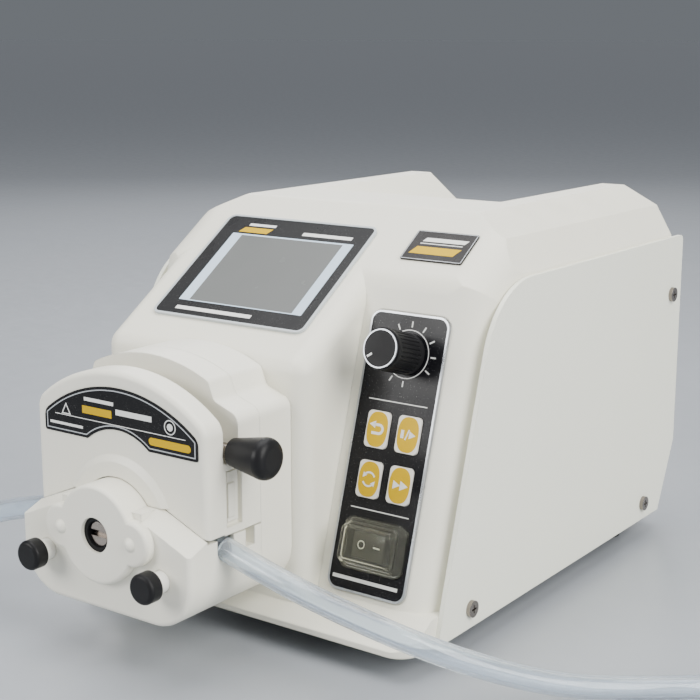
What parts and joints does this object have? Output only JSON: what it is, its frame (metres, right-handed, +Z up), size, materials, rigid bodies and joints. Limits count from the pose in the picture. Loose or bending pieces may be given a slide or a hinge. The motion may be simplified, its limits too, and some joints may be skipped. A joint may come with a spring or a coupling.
{
  "type": "peristaltic pump",
  "caption": "Bench-top peristaltic pump: leaning-front casing with display, knob and keys, a roller pump head with lever and push rods, and a clear hose through it.",
  "frame": {"origin": "on the bench, in the middle of the machine's footprint without the free tube ends", "axes": "+Z up, +Y from the front to the back of the casing, +X to the right seen from the front"},
  "size_m": [0.4059, 0.3911, 0.177],
  "materials": {
    "casing_plastic": "fine spark texture",
    "casing_paint": "fine powder coat",
    "head_plastic": "satin",
    "zinc_steel": "zinc plated",
    "bright_steel": "turned and polished",
    "aluminium_case": "satin",
    "silver_trim": "satin",
    "black_rubber": "matte",
    "black_plastic": "satin",
    "black_gloss": "gloss",
    "display_face": "printed front film",
    "display_frame": "satin light border",
    "badge_face": "printed plate",
    "strip_face": "printed front film",
    "key_cap": "satin with a printed oval",
    "circuit_board": "solder mask",
    "boot_silicone": "translucent",
    "label_face": "printed film",
    "white_plastic": "satin",
    "motor_black": "satin",
    "silicone_tube": "milky translucent"
  },
  "bodies": {
    "casing": {"front_shell": "casing_plastic", "side_panel_left": "casing_paint", "side_panel_right": "casing_paint", "rear_panel": "casing_paint", "base_plate": "zinc_steel", "feet": "black_rubber", "case_screws": "bright_steel", "display_bezel": "display_frame", "display_window": "display_face", "lcd_module": "aluminium_case", "badge_plate": "badge_face", "control_trim": "silver_trim", "control_fascia": "strip_face", "control_board": "circuit_board", "main_board": "circuit_board", "switch_body": "black_plastic", "switch_boot": "boot_silicone", "head_rear_plate": "head_plastic", "head_screws": "bright_steel", "lower_housing": "head_plastic", "shaft_bearings": "bright_steel", "shaft_seal": "black_rubber", "guide_rods": "bright_steel", "motor": "motor_black", "motor_bracket": "zinc_steel", "power_supply": "aluminium_case", "fan_frame": "black_plastic", "fan_guard": "bright_steel", "power_inlet": "black_plastic", "control_port": "bright_steel", "fuse_holder": "black_plastic", "pump_tube": "silicone_tube", "tube_left": "silicone_tube", "tube_right": "silicone_tube"},
    "rotor": {"rotor_shaft": "bright_steel", "rotor_cage": "bright_steel", "motor_shaft": "bright_steel"},
    "roller_1": {"roller_1": "white_plastic"},
    "roller_2": {"roller_2": "white_plastic"},
    "roller_3": {"roller_3": "white_plastic"},
    "pressure_block": {"pressure_block": "head_plastic", "block_label": "label_face", "side_latches": "head_plastic"},
    "lever": {"lever_arm": "bright_steel", "lever_knob": "black_plastic"},
    "knob": {"speed_knob": "black_plastic", "knob_ring": "silver_trim", "knob_spindle": "bright_steel"},
    "button_return": {"button_return": "key_cap"},
    "button_start": {"button_start": "key_cap"},
    "button_reverse": {"button_reverse": "key_cap"},
    "button_prime": {"button_prime": "key_cap"},
    "rocker": {"switch_rocker": "black_gloss"},
    "push_rod_left": {"push_cap_left": "black_plastic", "push_stem_left": "white_plastic"},
    "push_rod_right": {"push_cap_right": "black_plastic", "push_stem_right": "white_plastic"},
    "jaw_left": {"tube_jaw_left": "head_plastic"},
    "jaw_right": {"tube_jaw_right": "head_plastic"},
    "fan": {"fan_rotor": "black_plastic"}
  },
  "joints": [
    {"name": "rotor_spin", "type": "hinge", "parent": "casing", "child": "rotor", "pos_m": [-0.0192, -0.12095, 0.0573], "axis": [0, 1, 0], "continuous": true},
    {"name": "roller_1_spin", "type": "hinge", "parent": "rotor", "child": "roller_1", "pos_m": [-0.0192, -0.12105, 0.0765], "axis": [0, 1, 0], "continuous": true},
    {"name": "roller_2_spin", "type": "hinge", "parent": "rotor", "child": "roller_2", "pos_m": [-0.03583, -0.12105, 0.0477], "axis": [0, 1, 0], "continuous": true},
    {"name": "roller_3_spin", "type": "hinge", "parent": "rotor", "child": "roller_3", "pos_m": [-0.00257, -0.12105, 0.0477], "axis": [0, 1, 0], "continuous": true},
    {"name": "block_slide", "type": "slide", "parent": "casing", "child": "pressure_block", "axis": [0, 0, 1], "range_m": [0, 0.012]},
    {"name": "lever_swing", "type": "hinge", "parent": "pressure_block", "child": "lever", "pos_m": [-0.0192, -0.12045, 0.093], "axis": [0, -1, 0], "range_deg": [0, 180]},
    {"name": "knob_turn", "type": "hinge", "parent": "casing", "child": "knob", "pos_m": [0.0594, -0.05297, 0.12481], "axis": [0, 0.9578, -0.2873], "range_deg": [0, 300]},
    {"name": "press_return", "type": "slide", "parent": "casing", "child": "button_return", "axis": [0, 0.9578, -0.2873], "range_m": [0, 0.0006], "stiffness_N_per_m": 1500, "springref_m": -0.0003},
    {"name": "press_start", "type": "slide", "parent": "casing", "child": "button_start", "axis": [0, 0.9578, -0.2873], "range_m": [0, 0.0006], "stiffness_N_per_m": 1500, "springref_m": -0.0003},
    {"name": "press_reverse", "type": "slide", "parent": "casing", "child": "button_reverse", "axis": [0, 0.9578, -0.2873], "range_m": [0, 0.0006], "stiffness_N_per_m": 1500, "springref_m": -0.0003},
    {"name": "press_prime", "type": "slide", "parent": "casing", "child": "button_prime", "axis": [0, 0.9578, -0.2873], "range_m": [0, 0.0006], "stiffness_N_per_m": 1500, "springref_m": -0.0003},
    {"name": "rocker_tilt", "type": "hinge", "parent": "casing", "child": "rocker", "pos_m": [0.059, -0.06907, 0.04507], "axis": [0, 0.2873, 0.9578], "range_deg": [0, 14]},
    {"name": "push_rod_left_slide", "type": "slide", "parent": "casing", "child": "push_rod_left", "axis": [0, 1, 0], "range_m": [0, 0.0032], "stiffness_N_per_m": 600, "springref_m": -0.0015},
    {"name": "jaw_left_slide", "type": "slide", "parent": "casing", "child": "jaw_left", "axis": [0, 0, -1], "range_m": [0, 0.003]},
    {"name": "push_rod_right_slide", "type": "slide", "parent": "casing", "child": "push_rod_right", "axis": [0, 1, 0], "range_m": [0, 0.0032], "stiffness_N_per_m": 600, "springref_m": -0.0015},
    {"name": "jaw_right_slide", "type": "slide", "parent": "casing", "child": "jaw_right", "axis": [0, 0, -1], "range_m": [0, 0.003]},
    {"name": "fan_spin", "type": "hinge", "parent": "casing", "child": "fan", "pos_m": [-0.04, 0.13955, 0.112], "axis": [0, 1, 0], "continuous": true}
  ],
  "couplings": [
    {"joint": "roller_1_spin", "follows": "rotor_spin", "ratio": -4.2},
    {"joint": "roller_2_spin", "follows": "rotor_spin", "ratio": -4.2},
    {"joint": "roller_3_spin", "follows": "rotor_spin", "ratio": -4.2},
    {"joint": "lever_swing", "follows": "block_slide", "rad_per_m": 261.8},
    {"joint": "jaw_left_slide", "follows": "push_rod_left_slide", "ratio": 0.9375},
    {"joint": "jaw_right_slide", "follows": "push_rod_right_slide", "ratio": 0.9375}
  ]
}
